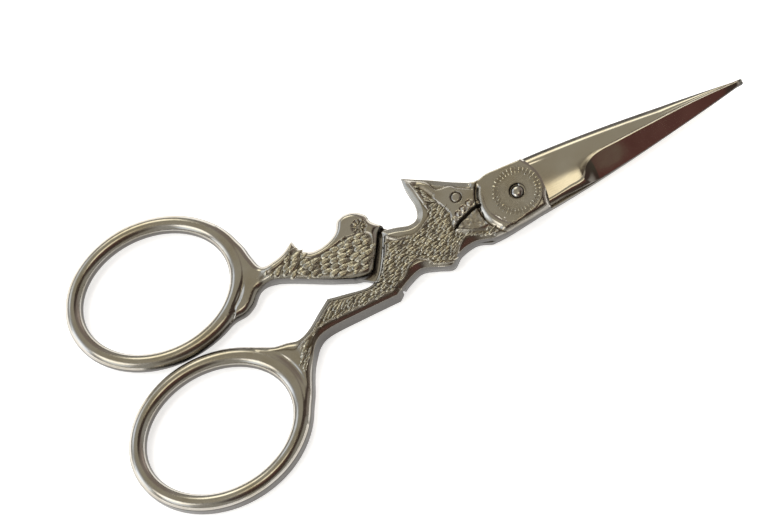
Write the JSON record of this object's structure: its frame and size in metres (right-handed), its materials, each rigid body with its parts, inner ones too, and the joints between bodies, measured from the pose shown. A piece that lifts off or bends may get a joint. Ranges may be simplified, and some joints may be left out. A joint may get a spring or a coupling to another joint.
{
  "type": "thread snips",
  "caption": "Small ornamental scissor-type thread snips: two lapped plated steel halves with oval finger rings, a cast animal figure and a slotted pivot screw.",
  "frame": {"origin": "centre of the closed snips' bounding box, on the flat back faces they rest on", "axes": "+X towards the blade tips, +Y towards the finger ring of the back half, +Z out of the ornamented front face"},
  "size_m": [0.1032, 0.0458, 0.0041],
  "materials": {
    "plated_steel_front": "warm nickel plate, polished blade and rings, cast relief with darker recesses",
    "plated_steel_back": "warm nickel plate, polished rings, cast relief with darker recesses",
    "screw_steel": "bright turned steel"
  },
  "bodies": {
    "back_half": {"back_half": "plated_steel_back"},
    "front_half": {"front_half": "plated_steel_front", "pivot_screw": "screw_steel"}
  },
  "joints": [
    {"name": "pivot", "type": "hinge", "parent": "back_half", "child": "front_half", "pos_m": [0.01559, 0, 0.002], "axis": [0, 0, 1], "range_deg": [0, 120]}
  ]
}
